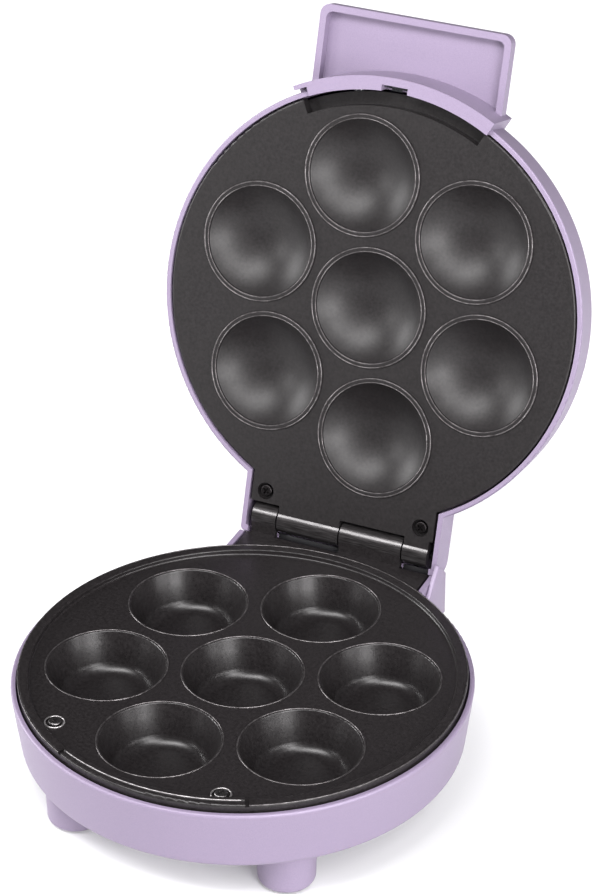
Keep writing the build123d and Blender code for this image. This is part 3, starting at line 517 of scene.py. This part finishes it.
# %% Smooth middle of the crown
CROWN_TOP = 30.0 * MM
CROWN_SIDE_Z = 23.0 * MM
CROWN_SIDE_R = 96.2 * MM
CROWN_RISE = CROWN_TOP - CROWN_SIDE_Z
CROWN_BALL = (CROWN_SIDE_R ** 2 + CROWN_RISE ** 2) / (2 * CROWN_RISE)
CROWN_PROUD = 0.04 * MM
CROWN_SUNK = 0.01 * MM
CROWN_SKIN_R = 14.0 * MM
CROWN_RUN_OUT = 2.0 * MM
CROWN_RINGS = 13
CROWN_RING_WIDE = 1.0 * MM
bpy.ops.object.select_all(action="DESELECT")
bpy.ops.mesh.primitive_circle_add(vertices=96, radius=CROWN_SKIN_R, fill_type="NGON")
crown = bpy.context.object
crown.name = "crown_insert"
bpy.ops.object.mode_set(mode="EDIT")
bpy.ops.mesh.select_all(action="SELECT")
for _ in range(CROWN_RINGS):
    bpy.ops.mesh.inset(thickness=CROWN_RING_WIDE, depth=0)
bpy.ops.object.mode_set(mode="OBJECT")
for point in crown.data.vertices:
    reach = math.hypot(point.co.x, point.co.y)
    drop = CROWN_BALL - math.sqrt(CROWN_BALL ** 2 - reach ** 2)
    proud = CROWN_PROUD * min(1.0, (CROWN_SKIN_R - reach) / CROWN_RUN_OUT) - CROWN_SUNK
    point.co.z = CROWN_TOP - drop + proud
bpy.ops.object.shade_smooth()
settle(crown, "lid", pearl)
print("crown insert:", len(crown.data.polygons), "faces")

# %% [markdown]
# ## Outer edge of the lower plate
# The rim of the lower plate shows a long thin line nearly all the way round. At the front it stops, because
# there a raised tongue takes its place. The top edge of the tongue is brighter, and its bead gets the
# brighter painted highlight. Both lines are painted highlights and the same kind of bead, spun through a
# part of the circle only.

# %% Edge lines of the ring and the tongue
FRONT_TURN = -90.0       # degrees; the front of the machine is towards -Y
RIM_BEAD_THICK = 0.26 * MM
RING_EDGE_R = 94.75 * MM
RING_EDGE_Z = -0.55 * MM
RING_STEPS = 160
TONGUE_EDGE_R = 93.0 * MM
TONGUE_EDGE_Z = 0.8 * MM
TONGUE_HALF = 25.7       # degrees either side of the front
TONGUE_STEPS = 48
RING_GAP = 1.2           # degrees between the end of the tongue and the line on the ring
TONGUE_GAP = 0.9         # degrees between the end of the tongue and its own line
ring_edge = bead("ring_edge", RING_EDGE_R, RIM_BEAD_THICK, RING_EDGE_Z, FRONT_TURN + TONGUE_HALF + RING_GAP,
                 360 - 2 * (TONGUE_HALF + RING_GAP), RING_STEPS)
settle(ring_edge, "base", painted_edge_highlight)
tongue_edge = bead("tongue_edge", TONGUE_EDGE_R, RIM_BEAD_THICK, TONGUE_EDGE_Z,
                   FRONT_TURN - TONGUE_HALF + TONGUE_GAP, 2 * (TONGUE_HALF - TONGUE_GAP), TONGUE_STEPS)
# the tongue's bead carries the brighter painted highlight
settle(tongue_edge, "base", painted_bright_highlight)
print("tongue edge from", [round(v / MM, 1) for v in tongue_edge.bound_box[0]],
      "to", [round(v / MM, 1) for v in tongue_edge.bound_box[6]])

# %% [markdown]
# ## Knuckles of the hinge
# The four knuckles shine more than the plates in the photo. Their skins get a smoother, more metallic coat
# than the plates, with fine streaks along the pin, and a lighter tone, which is painted sheen. Each skin is
# a
# cylinder round the pin: its end faces are inset and opened for the pin, and its edges are bevelled.

# %% Satin black knuckle skins
STREAK = 0.5 * MM
STREAK_LONG = 12.5       # how many times longer than wide a streak is
knuckle_black, knuckle_tree, knuckle_shader = start_material(
    "satin_black_knuckle_coating_painted_sheen", Metallic=0.7, Roughness=0.3, IOR=1.5, Coat_Weight=0.5, Coat_Roughness=0.2)
knuckle_place = add_node(knuckle_tree, "ShaderNodeTexCoord")
stretch = add_node(knuckle_tree, "ShaderNodeMapping", links={"Vector": knuckle_place.outputs["Object"]})
stretch.inputs["Scale"].default_value = (1 / STREAK_LONG, 1.0, 1.0)
streaks = add_node(knuckle_tree, "ShaderNodeTexNoise", {"Scale": 1 / STREAK, "Detail": 3.0},
                   {"Vector": stretch.outputs["Vector"]})
knuckle_tint = add_node(knuckle_tree, "ShaderNodeValToRGB", links={"Fac": streaks.outputs["Fac"]})
# the knuckles' tones are lighter than the plates' coating: painted sheen, with streaks along the pin
knuckle_tint.color_ramp.elements[0].position = 0.35
knuckle_tint.color_ramp.elements[0].color = linear("#2a2728")
knuckle_tint.color_ramp.elements[1].position = 0.7
knuckle_tint.color_ramp.elements[1].color = linear("#4b4849")
knuckle_tree.links.new(knuckle_tint.outputs["Color"], knuckle_shader.inputs["Base Color"])
knuckle_bump = add_node(knuckle_tree, "ShaderNodeBump", {"Strength": 0.3, "Distance": 0.05 * MM},
                        {"Height": streaks.outputs["Fac"]})
knuckle_tree.links.new(knuckle_bump.outputs["Normal"], knuckle_shader.inputs["Normal"])

KNUCKLE_R = 6.05 * MM
KNUCKLE_WALL = 3.6 * MM
KNUCKLE_BEVEL = 0.35 * MM
KNUCKLE_LAP = 0.1        # millimetres that a skin is longer than its knuckle
KNUCKLES = {
    "knuckle_skin_1": ("base", -42.4, -30.8), "knuckle_skin_2": ("lid", -30.0, -0.4),
    "knuckle_skin_3": ("base", 0.4, 30.0), "knuckle_skin_4": ("lid", 30.8, 42.4),
}
for name, (body, left, right) in KNUCKLES.items():
    bpy.ops.object.select_all(action="DESELECT")
    bpy.ops.mesh.primitive_cylinder_add(
        vertices=64, radius=KNUCKLE_R, depth=(right - left + KNUCKLE_LAP) * MM,
        location=((left + right) / 2 * MM, PIN_Y, PIN_Z), rotation=(0, math.radians(90), 0))
    skin = bpy.context.object
    skin.name = name
    bpy.ops.object.transform_apply(location=True, rotation=True, scale=True)
    bpy.ops.object.mode_set(mode="EDIT")
    bpy.ops.mesh.select_all(action="DESELECT")
    shape = bmesh.from_edit_mesh(skin.data)
    for face in shape.faces:
        face.select_set(len(face.verts) > 4)
    bmesh.update_edit_mesh(skin.data)
    bpy.ops.mesh.inset(thickness=KNUCKLE_WALL, depth=0)
    bpy.ops.mesh.delete(type="FACE")
    shape = bmesh.from_edit_mesh(skin.data)
    for edge in shape.edges:
        ends = [math.hypot(v.co.y - PIN_Y, v.co.z - PIN_Z) for v in edge.verts]
        flat = abs(edge.verts[0].co.x - edge.verts[1].co.x) < 0.001 * MM
        edge.select_set(flat and min(ends) > KNUCKLE_R - 0.01 * MM)
    bmesh.update_edit_mesh(skin.data)
    bpy.ops.mesh.bevel(offset=KNUCKLE_BEVEL, segments=3)
    bpy.ops.mesh.select_all(action="SELECT")
    bpy.ops.mesh.normals_make_consistent(inside=False)
    bpy.ops.object.mode_set(mode="OBJECT")
    bpy.ops.object.shade_smooth_by_angle(angle=math.radians(35))
    settle(skin, body, knuckle_black)
print("knuckle skins:", list(KNUCKLES))

# %% [markdown]
# ## Painted shade under the hinge
# The tail of this lid ends in an open edge just below its two knuckles and would show lilac there, while the
# photo shows only black under the knuckles, which is shade. A thin black strip on the edge hides the lilac
# and stands for that shade, so the strips are painted shade. They are an assumption, because no such piece
# can be made out. Each is a flat block with bevelled edges.

# %% Black strips of painted shade on the edge of the lid's tail
STRIP_LOW = 4.72 * MM
STRIP_HIGH = 4.98 * MM
STRIP_FRONT = 111.9 * MM
STRIP_BACK = 114.35 * MM
STRIP_BEVEL = 0.08 * MM
STRIPS = {"tail_strip_middle": (-30.3, 0.2), "tail_strip_right": (30.5, 43.9)}
for name, (left, right) in STRIPS.items():
    bpy.ops.object.select_all(action="DESELECT")
    bpy.ops.mesh.primitive_cube_add(size=1, location=(
        (left + right) / 2 * MM, (STRIP_FRONT + STRIP_BACK) / 2, (STRIP_LOW + STRIP_HIGH) / 2))
    strip = bpy.context.object
    strip.name = name
    strip.scale = ((right - left) * MM, STRIP_BACK - STRIP_FRONT, STRIP_HIGH - STRIP_LOW)
    bpy.ops.object.transform_apply(location=True, rotation=True, scale=True)
    bpy.ops.object.mode_set(mode="EDIT")
    bpy.ops.mesh.select_all(action="SELECT")
    bpy.ops.mesh.bevel(offset=STRIP_BEVEL, segments=2)
    bpy.ops.object.mode_set(mode="OBJECT")
    bpy.ops.object.shade_smooth_by_angle(angle=math.radians(40))
    # each black strip is painted shade under the knuckles
    settle(strip, "lid", black_plastic)
print("strips:", list(STRIPS))

# %% [markdown]
# ## Ears beside the hinge
# The side walls of the base tail go on outside the tail of the lid. On the right the photo shows the wall
# ending in a pointed ear. On the left it shows none, so the ear there is a guess and stays low. An ear is
# made as one more step of the wall, about 2 mm thick: a block, cut by two slanting planes for the ramp at
# the front and the slope at the back, with its edges bevelled.

# %% Model the two ears
EAR_IN = 47.45 * MM
EAR_OUT = 49.6 * MM
EAR_FRONT = 84.0 * MM
EAR_BACK = 106.0 * MM
EAR_LOW = -24.0 * MM
EAR_TIP_Y = 97.5 * MM
EAR_BEVEL = 0.7 * MM
EAR_RAMP = (0, -6.6, 9.0)
EAR_SLOPE = (0, 8.0, 7.0)
EAR_TIPS = {"right": (1, 5.6 * MM), "left": (-1, -11.0 * MM)}
for word, (side, tip) in EAR_TIPS.items():
    bpy.ops.object.select_all(action="DESELECT")
    bpy.ops.mesh.primitive_cube_add(size=1, location=(
        side * (EAR_IN + EAR_OUT) / 2, (EAR_FRONT + EAR_BACK) / 2, (EAR_LOW + tip) / 2))
    ear = bpy.context.object
    ear.name = f"hinge_ear_{word}"
    ear.scale = (EAR_OUT - EAR_IN, EAR_BACK - EAR_FRONT, tip - EAR_LOW)
    bpy.ops.object.transform_apply(location=True, rotation=True, scale=True)
    bpy.ops.object.mode_set(mode="EDIT")
    bpy.ops.mesh.select_all(action="SELECT")
    bpy.ops.mesh.bisect(plane_co=(0, EAR_TIP_Y, tip), plane_no=EAR_RAMP, use_fill=True, clear_outer=True)
    bpy.ops.mesh.select_all(action="SELECT")
    bpy.ops.mesh.bisect(plane_co=(0, EAR_TIP_Y, tip), plane_no=EAR_SLOPE, use_fill=True, clear_outer=True)
    bpy.ops.mesh.select_all(action="SELECT")
    bpy.ops.mesh.remove_doubles(threshold=0.01 * MM)
    bpy.ops.mesh.normals_make_consistent(inside=False)
    bpy.ops.mesh.bevel(offset=EAR_BEVEL, segments=3)
    bpy.ops.object.mode_set(mode="OBJECT")
    bpy.ops.object.shade_smooth_by_angle(angle=math.radians(40))
    settle(ear, "base", pearl)
print("two hinge ears")

# %% [markdown]
# ## Screw holes and lens bezels
# Two screws go through the lower plate, and the photo shows a light ring round them, laid on here as the
# brighter painted highlight along the edge of the hole. The crown of the lid isn't seen in the photo: there
# each lamp lens gets a thin black bezel, which is a guess like the lens. All four are beads again, spun
# round the axis of the hole or the lens.

# %% Hole edges and bezels
PLATE_SCREW_REACH = 85.0 * MM
PLATE_SCREW_TURNS = {"left": -130.6, "right": -70.6}
HOLE_EDGE_R = 4.05 * MM
HOLE_EDGE_THICK = 0.38 * MM
HOLE_EDGE_Z = -2.62 * MM
SMALL_STEPS = 48
for word, turn in PLATE_SCREW_TURNS.items():
    hole_edge = bead(f"screw_hole_edge_{word}", HOLE_EDGE_R, HOLE_EDGE_THICK, HOLE_EDGE_Z, steps=SMALL_STEPS)
    x = PLATE_SCREW_REACH * math.cos(math.radians(turn))
    y = PLATE_SCREW_REACH * math.sin(math.radians(turn))
    # the light ring round each hole is a painted highlight
    settle(hole_edge, "base", painted_bright_highlight, x, y)
LENS_AT = (9.0 * MM, -56.0 * MM)
BEZEL_Z = 27.75 * MM
BEZEL_R = 3.65 * MM
BEZEL_THICK = 0.5 * MM
for side, word in ((-1, "power"), (1, "ready")):
    bezel = bead(f"lens_bezel_{word}", BEZEL_R, BEZEL_THICK, BEZEL_Z, steps=SMALL_STEPS)
    settle(bezel, "lid", black_plastic, side * LENS_AT[0], LENS_AT[1])
print("hole edges and lens bezels")
